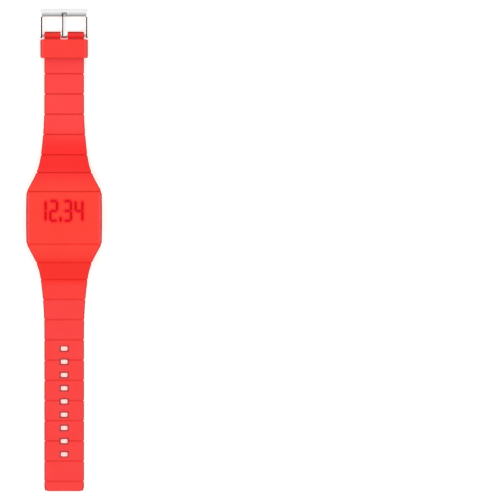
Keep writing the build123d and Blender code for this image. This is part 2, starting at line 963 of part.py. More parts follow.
def stroke(length, x, y, upright, fit=0):
    """The outline of one six-sided light segment, lying down or upright."""
    half = length / 2 + fit
    tip = stroke_width / 2 + fit
    right = [(half - tip, -tip), (half, 0), (half - tip, tip)]
    left = [(-along, -across) for along, across in right]
    outline = Polygon(*right, *left, align=None)
    return Pos(x, digits_offset + y) * Rot(0, 0, 90 if upright else 0) * outline


def digit_places():
    """The middles of the three full digits, across the strap."""
    second = -(digit_pitch + point_gap + digit_width) / 2
    third = second + digit_pitch + point_gap
    return [second, third, third + digit_pitch]


def light_segments(fit=0):
    """The solids of all light segments, grown by the fit."""
    bar = digit_width - stroke_gap
    upright = digit_height / 2 - stroke_gap
    places = digit_places()
    strokes = []
    for middle in places:
        for y in (-digit_height / 2, 0, digit_height / 2):
            strokes.append(stroke(bar, middle, y, False, fit))
    upright_places = [middle + side * digit_width / 2 for middle in places for side in (-1, 1)]
    upright_places.append(places[0] - digit_pitch + digit_width / 2)
    for x in upright_places:
        for y in (-digit_height / 4, digit_height / 4):
            strokes.append(stroke(upright, x, y, True, fit))
    point_x = (places[0] + places[1]) / 2
    strokes.append(stroke(point_length, point_x, point_rise - digit_height / 2, True, fit))
    bottom = roof_underside - segment_depth
    return [Pos(0, 0, bottom) * extrude(outline, segment_depth) for outline in strokes]


def led_segments():
    """The lit bars of the display, flush with its top."""
    return Compound(light_segments())


def led_display_block():
    """The display's body, with a pocket for each light segment."""
    places = digit_places()
    reach = places[-1] + digit_width / 2
    width = 2 * reach + stroke_width + 2 * display_margin
    length = digit_height + stroke_width + 2 * display_margin
    block = slab(width, length, display_height, display_corner, board_top, y=digits_offset)
    return block - light_segments(segment_fit)


def controller_chip():
    """The bonded chip under its round cap of resin."""
    cap = post(chip_radius, chip_height, board_top, -chip_offset, -press_offset)
    return fillet(cap.edges().group_by(Axis.Z)[-1], chip_round)


def quartz_crystal():
    """The crystal's can, lying on the board, with its two leads bent down."""
    height = board_top + crystal_radius
    can_end = crystal_length / 2 - press_offset
    can = Pos(crystal_offset, -press_offset, height) * Cylinder(
        crystal_radius, crystal_length, rotation=(90, 0, 0)
    )
    for side in (-1, 1):
        x = crystal_offset + side * crystal_lead_spread
        lead = Cylinder(crystal_lead_radius, crystal_lead_length, rotation=(90, 0, 0))
        can += Pos(x, can_end + crystal_lead_length / 2, height) * lead
        bend_y = can_end + crystal_lead_length - crystal_lead_radius
        can += post(crystal_lead_radius, crystal_radius, board_top, x, bend_y)
    return can


def chip_resistors():
    """The row of resistors that set the segments' current."""
    first_x = -(resistor_count - 1) * small_part_pitch / 2
    height = board_top + small_part_height / 2
    body = Box(small_part_width, small_part_length, small_part_height)
    return Compound(
        [
            Pos(first_x + index * small_part_pitch, -small_part_offset, height) * body
            for index in range(resistor_count)
        ]
    )


def chip_capacitors():
    """The two capacitors beside the row of resistors."""
    body = Box(
        small_part_width * capacitor_scale,
        small_part_length * capacitor_scale,
        small_part_height * capacitor_scale,
    )
    height = board_top + small_part_height * capacitor_scale / 2
    y = -small_part_offset - small_part_length * (capacitor_scale - 1) / 2
    return Compound([Pos(side * capacitor_offset, y, height) * body for side in (-1, 1)])


def sharp_edges(piece):
    """The edges where two faces of a piece meet at a clear angle."""
    found = []
    for edge in piece.edges():
        middle = edge @ 0.5
        normals = [f.normal_at(middle) for f in piece.faces() if edge in f.edges()]
        if len(normals) == 2 and normals[0].get_angle(normals[1]) > least_sharp_angle:
            found.append(edge)
    return found


def main():
    """Make every piece and write it under its own name."""
    tip = spring_bar_tip()
    pieces = {
        "silicone_band": silicone_band(),
        "keeper_loop": keeper_loop(),
        "buckle_frame": buckle_frame(),
        "buckle_tongue": buckle_tongue(),
        "spring_bar_tube": spring_bar_tube(),
        "spring_bar_tip_left": mirror(tip, Plane.YZ),
        "spring_bar_tip_right": tip,
        "spring_bar_coil": spring_bar_coil(),
        "module_housing": module_housing(),
        "display_window": display_window(),
        "press_button": press_button(),
        "tact_switch_body": tact_switch_body(),
        "tact_switch_stem": tact_switch_stem(),
        "main_board": main_board(),
        "led_display_block": led_display_block(),
        "led_segments": led_segments(),
        "controller_chip": controller_chip(),
        "quartz_crystal": quartz_crystal(),
        "chip_capacitors": chip_capacitors(),
        "chip_resistors": chip_resistors(),
        "battery_cell": battery_cell(),
        "battery_positive_contact": battery_positive_contact(),
        "battery_negative_contact": battery_negative_contact(),
        "battery_holder": battery_holder(),
        "insulator_film": insulator_film(),
        "board_screws": board_screws(),
        "back_gasket": back_gasket(),
        "case_back": case_back(),
        "case_back_screws": case_back_screws(),
    }
    os.makedirs("parts", exist_ok=True)
    for name, piece in pieces.items():
        export_step(piece, f"parts/{name}.step")


main()
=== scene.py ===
"""The looks of a red silicone LED watch that lies flat and is seen from straight above.

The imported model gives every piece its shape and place, in metres. This script merges and
smooths the pieces that show, gives every piece its finish and lights them plainly.
"""

import json
from functools import reduce
from math import radians, sqrt

import bmesh
import bpy
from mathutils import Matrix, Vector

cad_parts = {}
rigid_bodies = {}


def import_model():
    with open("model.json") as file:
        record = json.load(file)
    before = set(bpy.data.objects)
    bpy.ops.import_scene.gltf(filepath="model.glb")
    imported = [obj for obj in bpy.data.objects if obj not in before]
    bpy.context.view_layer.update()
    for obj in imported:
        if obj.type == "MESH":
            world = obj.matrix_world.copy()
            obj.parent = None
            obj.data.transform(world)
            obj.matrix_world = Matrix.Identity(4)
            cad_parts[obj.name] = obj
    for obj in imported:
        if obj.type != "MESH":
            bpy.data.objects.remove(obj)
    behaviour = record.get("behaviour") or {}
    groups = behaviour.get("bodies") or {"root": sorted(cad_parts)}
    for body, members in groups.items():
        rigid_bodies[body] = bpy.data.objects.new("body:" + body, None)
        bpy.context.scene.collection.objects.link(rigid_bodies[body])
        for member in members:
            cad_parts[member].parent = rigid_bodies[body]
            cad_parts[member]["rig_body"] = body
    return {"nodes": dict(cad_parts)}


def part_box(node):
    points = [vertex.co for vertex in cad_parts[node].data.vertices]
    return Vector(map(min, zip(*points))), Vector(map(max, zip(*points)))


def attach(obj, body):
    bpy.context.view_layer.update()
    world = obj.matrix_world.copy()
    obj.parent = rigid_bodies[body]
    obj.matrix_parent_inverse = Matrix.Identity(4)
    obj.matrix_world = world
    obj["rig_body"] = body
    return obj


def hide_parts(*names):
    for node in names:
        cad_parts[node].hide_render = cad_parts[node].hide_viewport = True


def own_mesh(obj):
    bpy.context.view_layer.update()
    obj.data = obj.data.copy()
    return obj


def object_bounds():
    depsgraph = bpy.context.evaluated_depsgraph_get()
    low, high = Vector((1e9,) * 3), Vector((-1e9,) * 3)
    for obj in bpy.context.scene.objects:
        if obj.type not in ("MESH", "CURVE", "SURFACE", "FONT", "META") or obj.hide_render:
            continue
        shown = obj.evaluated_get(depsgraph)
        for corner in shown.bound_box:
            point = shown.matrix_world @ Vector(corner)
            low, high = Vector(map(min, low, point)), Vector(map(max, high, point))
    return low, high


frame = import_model()
cad_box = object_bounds()

mm = 0.001

# The photograph: a square with the watch laid out along its left side
photo_pixels = 500
pixel_size = 0.506 * mm
watch_axis_pixel = 64.2
face_middle_pixel = 217.95
camera_height = 9000 * mm

# The sheet under the watch: what it gives to other rays, and what it shows to the eye
floor_radius = 12000 * mm
floor_sides = 96
floor_gap = 0.1 * mm
floor_grey = 0.5
floor_bounce_share = 0.6
floor_gloss_share = 0.96
floor_shown_paper = (0.4, 1, 1, 1)
floor_shown_glow = (0.85, 0.33, 0.3, 1)

# The sky, and the lamp on either side
sky_top = 1.0
sky_edge = 0.25
sky_edge_sine = 0.7
gloss_edge_sine = 0.5
key_reach = 800 * mm
key_height = 1250 * mm
key_size = 700 * mm
key_watts = 1.8

# Merged copies of the pieces: how near corners are merged, and the angle past which edges stay
# sharp
weld_reach = 0.002 * mm
smooth_degrees = 52

# The lit digits: their strokes as the display has them, and their blur through the skin
stroke_width = 0.85 * mm
stroke_gap = 0.2 * mm
digit_width = 3.4 * mm
digit_pitch = 5.75 * mm
point_gap = 1.3 * mm
point_length = 2.4 * mm
point_rise = 0.65 * mm
bar_half_width = 0.54 * mm
upright_half_width = 0.5 * mm
glow_blur = 0.25 * mm
halo_reach = 1.5 * mm
halo_share = 0.65
glow_lowest = 9.0 * mm
stroke_shares = {
    "top": (0, 0.5),
    "middle": (0, 0),
    "bottom": (0, -0.5),
    "upper left": (-0.5, 0.25),
    "upper right": (0.5, 0.25),
    "lower left": (-0.5, -0.25),
    "lower right": (0.5, -0.25),
}
lit_strokes = (
    ("upper right", "lower right"),
    ("top", "upper right", "middle", "lower left", "bottom"),
    ("top", "upper right", "middle", "lower right", "bottom"),
    ("upper left", "upper right", "middle", "lower right"),
)

# The band's holes and grooves, and the barrel round the spring bar
hole_width = 3.4 * mm
hole_length = 2.1 * mm
last_hole_y = -119.6 * mm
hole_pitch = 6.69 * mm
hole_gaps = 8
first_grooves = (13.3 * mm, 22.95 * mm, 31.95 * mm, 42.25 * mm)
later_grooves = 4
groove_pitch = 10.22 * mm
barrel_middle = 92.3 * mm

# Where each of the silicone's tones begins and is full, or begins, is full, fades and ends
strap_fade = (12 * mm, 30 * mm)
tail_fade = (-12 * mm, -30 * mm)
far_tail_fade = (-38 * mm, -43 * mm)
buckle_fall_shade_fade = (14 * mm, 27 * mm, 33 * mm, 48 * mm)
tail_fall_shade_fade = (-17 * mm, -24 * mm, -31 * mm, -35 * mm)
barrel_shade_fade = (89 * mm, 90 * mm)
face_end_fade = (first_grooves[0] - 2 * mm, first_grooves[0])
face_sheen_fade = (16.8 * mm, 18.4 * mm)
flat_strap_fade = (32 * mm, 40 * mm)
rim_shade_fade = (0.9 * mm, 0.5 * mm)
groove_shade_fade = (0.35 * mm, 0.1 * mm)

# How far the surface turns to a direction, from 0 to 1, where a tone begins and is full
tilt_fade = (0.05, 0.3)
band_bevel_fade = (0.3, 0.72)
keeper_bevel_fade = (0.6, 0.9)
barrel_end_shade_fade = (0.55, 0.85)
wall_fade = (0.25, 0.08)

# The size of the silicone's mottle, and how strongly its painted shade and painted sheen show
mottle_size = 9 * mm
barrel_shade_share = 0.6
face_sheen_share = 0.8
rim_shade_share = 0.85
groove_shade_share = 0.35
flare_shade_boost = 0.45
strap_shade_boost = 0.15

# The buckle: its bar with painted grey shade at the inner edge, the painted dark reflections
# along the arms, and the painted shadows in the bed and round the tongue
tongue_overlap = 1.75 * mm
arm_inner_x = 11.1 * mm
bar_shade_width = 2.6 * mm
bar_margin = 0.1 * mm
arm_side_fade = (0.3 * mm, 0)
arm_reflection_fade = (0.75 * mm, 0.6 * mm)
bed_side_fade = (1.35 * mm, 1.3 * mm)
bed_end_fade = (0.35 * mm, 0.3 * mm)
bed_shadow_share = 0.6
tip_shadow_fade = (-0.2 * mm, 0)
tongue_reflection_x = -0.8 * mm
tongue_reflection_fade = (0.45 * mm, 0.25 * mm)
tongue_eye_fade = (0.8 * mm, 1.4 * mm)

# The other finishes: the board's tracks and pads, and the tinned ends of its capacitors
track_pitch = 1.3 * mm
track_fade = (0.14, 0.08)
pad_fade = (0.2, 0.16)
tinned_share = 0.2
tinned_blur = 0.02 * mm


def colour(red, green, blue):
    """A colour given in the 0 to 255 of a screen, as the linear numbers of a shader."""
    shares = [value / 255 for value in (red, green, blue)]
    linear = [s / 12.92 if s <= 0.04045 else ((s + 0.055) / 1.055) ** 2.4 for s in shares]
    return (*linear, 1)


# The reds that both silicone pieces share: the first two mixed by a mottle, then a painted sheen
# where the surface tilts, painted shade on the bevels and painted shade on the upright walls
plain_reds = (colour(251, 62, 56), colour(253, 70, 64))
painted_sheen_red = colour(255, 76, 82)
bevel_shade_red = colour(170, 66, 67)
wall_shade_red = colour(236, 58, 50)

white_light = (1, 1, 1, 1)
no_light = (0, 0, 0, 1)


class Value:
    """A shader socket that takes part in arithmetic: each operator adds a Math node."""

    def __init__(self, tree, socket):
        self.tree = tree
        self.socket = socket

    def beside(self, name):
        """Another output of the same node."""
        return Value(self.tree, self.socket.node.outputs[name])

    def math(self, operation, first, second=0):
        return self.tree.node("ShaderNodeMath", {"operation": operation}, {0: first, 1: second})

    def __add__(self, other):
        return self.math("ADD", self, other)

    def __radd__(self, other):
        return self.math("ADD", other, self)

    def __sub__(self, other):
        return self.math("SUBTRACT", self, other)

    def __rsub__(self, other):
        return self.math("SUBTRACT", other, self)

    def __mul__(self, other):
        return self.math("MULTIPLY", self, other)

    def __rmul__(self, other):
        return self.math("MULTIPLY", other, self)

    def __pow__(self, other):
        return self.math("POWER", self, other)

    def __abs__(self):
        return self.math("ABSOLUTE", self)

    def least(self, other):
        return self.math("MINIMUM", self, other)

    def most(self, other):
        return self.math("MAXIMUM", self, other)

    def bounce(self, reach):
        """How far the value is from the nearest even multiple of the reach."""
        return self.math("PINGPONG", self, reach)

    def above(self, other):
        return self.math("GREATER_THAN", self, other)

    def fade(self, start, full):
        """0 up to start and 1 from full on, with a soft step between them."""
        values = {"Value": self, "From Min": start, "From Max": full}
        return self.tree.node("ShaderNodeMapRange", {"interpolation_type": "SMOOTHSTEP"}, values)

    def between(self, start, full, full_end, end):
        """1 between the two middle places and 0 outside the other two."""
        return self.fade(start, full) * self.fade(end, full_end)


class ShaderTree:
    """A tree of shader nodes, with the one method that adds them."""

    def __init__(self, node_tree):
        self.node_tree = node_tree

    def node(self, kind, settings, values, output=0):
        """Add a node: first its settings, then the values or links of its sockets."""
        made = self.node_tree.nodes.new(kind)
        for name, value in settings.items():
            setattr(made, name, value)
        for socket, value in values.items():
            self.feed(made.inputs[socket], value)
        return Value(self, made.outputs[output])

    def feed(self, socket, value):
        """Link a value to a socket, or set a plain number or colour on it."""
        if isinstance(value, Value):
            self.node_tree.links.new(value.socket, socket)
        else:
            socket.default_value = value

    def parts(self, vector):
        """The three numbers of a vector."""
        split = self.node("ShaderNodeSeparateXYZ", {}, {"Vector": vector})
        return [split.beside(axis) for axis in "XYZ"]

    def mix(self, share, first, second):
        """A colour between two others, by those sockets of a Mix node that take colours."""
        settings = {"data_type": "RGBA", "clamp_factor": True}
        values = {0: share, 6: first, 7: second}
        return self.node("ShaderNodeMix", settings, values, output=2)

    def cover(self, base, *layers):
        """A colour with others laid over it in turn, each by its share."""
        for share, tone in layers:
            base = self.mix(share, base, tone)
        return base

    def mix_shader(self, share, first, second):
        """A shader between two others."""
        return self.node("ShaderNodeMixShader", {}, {0: share, 1: first, 2: second})

    def emission(self, light):
        """A shader that gives an even light of its own."""
        return self.node("ShaderNodeEmission", {}, {"Color": light, "Strength": 1})


class Finish(ShaderTree):
    """A material made of nodes round one Principled shader."""

    def __init__(self, name, **fixed):
        self.material = bpy.data.materials.new(name)
        self.material.use_nodes = True
        super().__init__(self.material.node_tree)
        self.shader = self.node_tree.nodes["Principled BSDF"]
        self.place = self.node("ShaderNodeTexCoord", {}, {}, "Object")
        self.x, self.y, self.z = self.parts(self.place)
        self.paint(**fixed)

    def paint(self, **values):
        """Feed the shader's sockets, whose names are given in small letters."""
        for name, value in values.items():
            socket = name.replace("_", " ").title().replace("Ior", "IOR")
            self.feed(self.shader.inputs[socket], value)

    def turning(self):
        """How far the surface turns to each axis of the piece's own frame, from 0 to 1."""
        normal = self.node("ShaderNodeTexCoord", {}, {}, "Normal")
        return [abs(part) for part in self.parts(normal)]

    def noise(self, size, detail=2, place=None):
        """Soft random spots of about the given size, from 0 to 1."""
        values = {"Vector": place or self.place, "Scale": 1 / size, "Detail": detail}
        return self.node("ShaderNodeTexNoise", {}, values)

    def rings(self, size, detail=2):
        """Soft random rings about the given size apart, round the face's middle."""
        radius = (self.x * self.x + self.y * self.y) ** 0.5
        values = {"W": radius, "Scale": 1 / size, "Detail": detail}
        return self.node("ShaderNodeTexNoise", {"noise_dimensions": "1D"}, values)

    def stretched(self, x, y, z):
        """The surface's coordinates, stretched by these factors."""
        return self.node("ShaderNodeMapping", {}, {"Vector": self.place, "Scale": (x, y, z)})

    def bump(self, height, depth, strength=1):
        """Feed the normal with a relief of the given depth."""
        values = {"Strength": strength, "Distance": depth, "Height": height}
        self.paint(normal=self.node("ShaderNodeBump", {}, values))


def digit_strokes():
    """The middle and half length of each lit stroke, bars and uprights apart."""
    low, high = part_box("led_segments")
    middle_y = (low.y + high.y) / 2
    digit_height = high.y - low.y - stroke_width
    fourth = high.x - (stroke_width + digit_width) / 2
    third = fourth - digit_pitch
    second = third - digit_pitch - point_gap
    first = second - digit_pitch
    bars = []
    uprights = []
    for digit_x, names in zip((first, second, third, fourth), lit_strokes):
        for name in names:
            share_x, share_y = stroke_shares[name]
            place = (digit_x + share_x * digit_width, middle_y + share_y * digit_height)
            if share_x:
                uprights.append((place, (digit_height / 2 - stroke_gap) / 2))
            else:
                bars.append((place, (digit_width - stroke_gap) / 2))
    point_place = ((second + third) / 2, middle_y - digit_height / 2 + point_rise)
    uprights.append((point_place, point_length / 2))
    return bars, uprights


def outside_strokes(along, across, strokes, axis, half_width):
    """How far a point lies outside the nearest of the pointed strokes along X, 0, or Y, 1."""
    found = []
    for place, half_length in strokes:
        off_axis = abs(across - place[1 - axis])
        tip = (abs(along - place[axis]) + off_axis - half_length) * sqrt(0.5)
        found.append((off_axis - half_width).most(tip))
    return reduce(Value.least, found)


def show_digits(finish, skin):
    """The skin with the digits that glow through it, which also give a little light."""
    bars, uprights = digit_strokes()
    on_face = finish.z.above(glow_lowest)
    bar_reach = outside_strokes(finish.x, finish.y, bars, 0, bar_half_width)
    upright_reach = outside_strokes(finish.y, finish.x, uprights, 1, upright_half_width)
    bar_glow = bar_reach.fade(glow_blur, -glow_blur) * on_face
    upright_glow = upright_reach.fade(glow_blur, -glow_blur) * on_face
    halo = bar_reach.least(upright_reach).fade(halo_reach, 0) * on_face
    light = finish.cover(
        no_light,
        (upright_glow, colour(165, 0, 12)),
        (bar_glow, colour(172, 0, 36)),
    )
    finish.paint(emission_color=light, emission_strength=1)
    return finish.cover(
        skin,
        (halo * halo_share, colour(250, 10, 24)),
        (upright_glow, colour(140, 0, 6)),
        (bar_glow, colour(150, 0, 12)),
    )


def groove_shade(finish):
    """A mask of painted shade in the grooves between the face and the keeper."""
    last = first_grooves[-1]
    later = [last + step * groove_pitch for step in range(1, later_grooves + 1)]
    nearest = reduce(Value.least, [abs(finish.y - place) for place in (*first_grooves, *later)])
    return nearest.fade(*groove_shade_fade)


def hole_rim_shade(finish):
    """A mask of painted shade on the walls and the bevelled mouths of the tail's holes."""
    from_holes = (finish.y - last_hole_y).bounce(hole_pitch / 2)
    outside = (abs(finish.x) - hole_width / 2).most(from_holes - hole_length / 2)
    half_row = hole_gaps * hole_pitch / 2
    from_row_middle = abs(finish.y - (last_hole_y + half_row))
    on_row = from_row_middle.fade(half_row + hole_pitch / 2, half_row)
    return outside.fade(*rim_shade_fade) * on_row * rim_shade_share


def silicone(name):
    """The finish that both silicone pieces start from."""
    return Finish(
        name,
        subsurface_weight=0.08,
        subsurface_radius=(1, 0.25, 0.18),
        subsurface_scale=0.8 * mm,
        specular_ior_level=0.35,
        specular_tint=colour(255, 120, 110),
    )


def paint_silicone(finish, skin):
    """Give a silicone piece its colour, and the matt grain of its mould."""
    grain = finish.noise(0.22 * mm)
    finish.paint(base_color=skin, roughness=0.42 + 0.16 * grain)
    finish.bump(grain + 0.6 * finish.noise(1.6 * mm), 0.012 * mm)


def keeper_silicone(name):
    """Matt red silicone, with a painted sheen where it tilts and painted shade on its bevels and
    upright walls.
    """
    finish = silicone(name)
    mottle = finish.noise(mottle_size, detail=3)
    sideways, _, upwards = finish.turning()
    skin = finish.cover(
        finish.mix(mottle, *plain_reds),
        # A painted sheen where the surface tilts sideways
        (sideways.fade(*tilt_fade), painted_sheen_red),
        # Painted shade on the bevels
        (sideways.fade(*keeper_bevel_fade), bevel_shade_red),
        # Painted shade on the upright walls
        (upwards.fade(*wall_fade), wall_shade_red),
    )
    paint_silicone(finish, skin)
    return finish.material


def band_reds(finish):
    """The band's reds from the buckle to the tail's end, with painted shade on the falls and the
    barrel.
    """
    mottle = finish.noise(mottle_size, detail=3)
    face_red = finish.mix(mottle, colour(253, 65, 54), colour(254, 72, 61))
    strap_red = finish.mix(mottle, colour(252, 69, 68), colour(254, 77, 76))
    tail_red = finish.mix(mottle, *plain_reds)
    far_red = finish.mix(mottle, colour(248, 66, 64), colour(250, 74, 72))
    return finish.cover(
        face_red,
        (finish.y.fade(*strap_fade), strap_red),
        (finish.y.fade(*tail_fade), tail_red),
        (finish.y.fade(*far_tail_fade), far_red),
        # Painted shade: the falls beside the face a deeper red
        (finish.y.between(*buckle_fall_shade_fade), colour(253, 49, 46)),
        (finish.y.between(*tail_fall_shade_fade), colour(251, 52, 46)),
        # Painted shade on the barrel beside the keeper
        (finish.y.fade(*barrel_shade_fade) * barrel_shade_share, colour(250, 40, 34)),
    )


def band_silicone(name):
    """Matt red silicone with painted sheen and painted shade on its edges, with the digits
    glowing through the face.
    """
    finish = silicone(name)
    sideways, lengthways, upwards = finish.turning()
    beyond_face = abs(finish.y).fade(*face_end_fade)
    # A painted sheen along the face's sides
    face_side_sheen = abs(finish.x).fade(*face_sheen_fade) * (1 - beyond_face)
    on_strap = abs(finish.y).fade(*flat_strap_fade)
    # Painted shade on the bevels and the holes' rims, stronger on the flares and the strap
    shade_boost = 1 + flare_shade_boost * beyond_face + strap_shade_boost * on_strap
    bevel_shade = (sideways * shade_boost).fade(*band_bevel_fade).most(hole_rim_shade(finish))
    # Painted shade where the barrel turns away along the band, past its middle
    barrel_end_shade = lengthways.fade(*barrel_end_shade_fade) * finish.y.above(barrel_middle)
    skin = finish.cover(
        band_reds(finish),
        # A painted sheen where the surface tilts sideways
        (sideways.fade(*tilt_fade), painted_sheen_red),
        # A painted sheen along the face's sides
        (face_side_sheen * face_sheen_share, colour(254, 84, 90)),
        # Painted shade on the barrel's outer side
        (barrel_end_shade, colour(150, 36, 26)),
        # Painted shade on the bevels and the holes' rims
        (bevel_shade, bevel_shade_red),
        # Painted shade on the upright walls
        (upwards.fade(*wall_fade), wall_shade_red),
        # Painted shade in the grooves
        (groove_shade(finish) * groove_shade_share, colour(190, 26, 24)),
    )
    paint_silicone(finish, show_digits(finish, skin))
    return finish.material


def polished_steel(name, marks):
    """Mirror-polished steel with faint hairlines, with painted shade and painted dark
    reflections where its marks say, rougher where they are dark.
    """
    finish = Finish(name, metallic=1)
    hairlines = finish.noise(0.5 * mm, 3, finish.stretched(6, 0.4, 6))
    bright = finish.mix(finish.noise(4 * mm), colour(236, 236, 238), colour(246, 246, 247))
    painted_grey, painted_grey_tone, painted_dark = marks(finish)
    tone = finish.cover(bright, (painted_grey, painted_grey_tone), (painted_dark, colour(46, 46, 48)))
    finish.paint(base_color=tone, roughness=0.07 + 0.1 * hairlines + 0.2 * painted_dark)
    finish.bump(hairlines, 0.002 * mm)
    return finish.material


def frame_marks(finish):
    """The painted grey shade on the bar's inner edge, with its tone, and the painted dark
    reflections along the arms' inner sides with the painted shadow in the bed.
    """
    tongue_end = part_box("buckle_tongue")[1].y
    bar_start = tongue_end - tongue_overlap
    on_bar = finish.y.above(bar_start - bar_margin)
    inside_arms = (abs(finish.x) - arm_inner_x).fade(*arm_side_fade)
    painted_grey = finish.y.fade(bar_start + bar_shade_width, bar_start) * on_bar * inside_arms
    arm_dark_reflection = (abs(finish.x) - arm_inner_x).fade(*arm_reflection_fade) * (1 - on_bar)
    bed_end = (finish.y - tongue_end).fade(*bed_end_fade)
    bed_shadow = abs(finish.x).fade(*bed_side_fade) * bed_end * on_bar
    return painted_grey, colour(150, 150, 152), arm_dark_reflection.most(bed_shadow * bed_shadow_share)


def tongue_marks(finish):
    """The painted shadow at the tip, with its tone, and the painted dark reflection along the
    tongue.
    """
    low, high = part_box("buckle_tongue")
    painted_grey = (finish.y - (high.y - tongue_overlap)).fade(*tip_shadow_fade)
    line = abs(finish.x - tongue_reflection_x).fade(*tongue_reflection_fade)
    return painted_grey, colour(172, 172, 174), line * (finish.y - low.y).fade(*tongue_eye_fade)


def turned_steel(name):
    """Bright steel for the small turned parts, with fine rings round the spring bar."""
    finish = Finish(name, metallic=1)
    rings = finish.noise(0.3 * mm, 2, finish.stretched(8, 0.3, 0.3))
    tone = finish.mix(rings, colour(176, 177, 180), colour(206, 207, 210))
    finish.paint(base_color=tone, roughness=0.2 + 0.16 * rings)
    finish.bump(rings, 0.003 * mm)
    return finish.material


def brushed_steel(name):
    """The steel back, brushed in rings round its middle."""
    finish = Finish(name, metallic=1)
    rings = finish.rings(0.12 * mm, detail=3)
    scuffs = finish.noise(5 * mm, detail=4)
    tone = finish.mix(rings, colour(182, 183, 186), colour(206, 207, 209))
    finish.paint(base_color=tone, roughness=0.2 + 0.14 * rings + 0.1 * scuffs)
    finish.bump(rings, 0.004 * mm)
    return finish.material


def moulded_plastic(name, dark, light, roughness):
    """Matt moulded plastic with a fine eroded grain."""
    finish = Finish(name)
    grain = finish.noise(0.18 * mm, detail=3)
    tone = finish.mix(finish.noise(3 * mm, detail=3), dark, light)
    finish.paint(base_color=tone, roughness=roughness + 0.14 * grain)
    finish.bump(grain, 0.008 * mm)
    return finish.material


def clear_acrylic(name):
    """The clear polished plate over the display."""
    finish = Finish(name, ior=1.49, transmission_weight=1)
    haze = finish.noise(1.5 * mm, detail=3)
    tone = finish.mix(haze, colour(246, 248, 250), colour(252, 253, 254))
    finish.paint(base_color=tone, roughness=0.02 + 0.04 * haze)
    return finish.material


def green_laminate(name):
    """The circuit board: green lacquer over tracks, with tinned pads."""
    finish = Finish(name, coat_weight=0.4)
    cells = {"Vector": finish.place, "Scale": 1 / track_pitch}
    edges = finish.node("ShaderNodeTexVoronoi", {"feature": "DISTANCE_TO_EDGE"}, cells)
    centres = finish.node("ShaderNodeTexVoronoi", {"distance": "MANHATTAN"}, cells)
    tracks = edges.fade(*track_fade)
    pads = centres.fade(*pad_fade)
    weave = finish.noise(0.4 * mm, 2, finish.stretched(1, 3, 1))
    tone = finish.cover(
        finish.mix(weave, colour(14, 84, 44), colour(22, 104, 56)),
        (tracks, colour(52, 140, 74)),
        (pads, colour(208, 206, 196)),
    )
    finish.paint(base_color=tone, metallic=pads, roughness=0.34 + 0.1 * weave)
    finish.bump(tracks + pads, 0.03 * mm, strength=0.6)
    return finish.material


def lit_resin(name):
    """The red resin of the light segments, lit from within."""
    finish = Finish(name, roughness=0.3, emission_strength=0.8)
    grain = finish.noise(0.3 * mm)
    finish.paint(
        base_color=finish.mix(grain, colour(240, 20, 40), colour(255, 34, 58)),
        emission_color=finish.mix(grain, colour(200, 0, 26), colour(236, 0, 44)),
    )
    return finish.material


def cast_epoxy(name, dark, light, roughness):
    """Cast resin with slow ripples."""
    finish = Finish(name)
    ripple = finish.noise(1.2 * mm)
    tone = finish.mix(ripple, dark, light)
    finish.paint(base_color=tone, roughness=roughness + 0.08 * ripple)
    finish.bump(ripple, 0.02 * mm)
    return finish.material


def nickel_can(name):
    """Nickel-plated steel, drawn and spun."""
    finish = Finish(name, metallic=1)
    rings = finish.rings(0.3 * mm)
    stain = finish.noise(4 * mm, detail=4)
    tone = finish.mix(stain, colour(186, 184, 176), colour(214, 212, 206))
    finish.paint(base_color=tone, roughness=0.24 + 0.12 * rings)
    finish.bump(rings, 0.003 * mm)
    return finish.material


def chip_ceramic(name):
    """The capacitors: tan bodies with tinned ends."""
    finish = Finish(name)
    low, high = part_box("chip_capacitors")
    end_start = (0.5 - tinned_share) * (high.y - low.y)
    from_middle = abs(finish.y - (low.y + high.y) / 2)
    ends = from_middle.fade(end_start, end_start + tinned_blur)
    speckle = finish.noise(0.12 * mm)
    body = finish.mix(speckle, colour(150, 112, 74), colour(178, 140, 98))
    tone = finish.mix(ends, body, colour(206, 206, 202))
    finish.paint(base_color=tone, metallic=ends, roughness=0.34 + 0.2 * speckle)
    return finish.material


def contact_brass(name):
    """The gold-washed spring strip of the battery's contacts."""
    finish = Finish(name, metallic=1)
    grain = finish.noise(0.2 * mm, 2, finish.stretched(0.3, 4, 4))
    tone = finish.mix(grain, colour(206, 168, 92), colour(228, 192, 116))
    finish.paint(base_color=tone, roughness=0.2 + 0.14 * grain)
    finish.bump(grain, 0.002 * mm)
    return finish.material


def amber_film(name):
    """The thin amber film that insulates the battery."""
    finish = Finish(name)
    cloud = finish.noise(3 * mm)
    tone = finish.mix(cloud, colour(206, 128, 28), colour(224, 150, 44))
    finish.paint(base_color=tone, roughness=0.14 + 0.1 * cloud, alpha=0.8 + 0.1 * cloud)
    return finish.material


def black_rubber(name):
    """The gasket's smooth black rubber, with a little bloom."""
    finish = Finish(name)
    bloom = finish.noise(1.5 * mm, detail=3)
    tone = finish.mix(bloom, colour(22, 22, 23), colour(38, 38, 40))
    finish.paint(base_color=tone, roughness=0.5 + 0.2 * bloom)
    finish.bump(bloom, 0.01 * mm)
    return finish.material


def new_object(name, data):
    """An object with this mesh, lamp or camera, in the scene."""
    made = bpy.data.objects.new(name, data)
    bpy.context.scene.collection.objects.link(made)
    return made


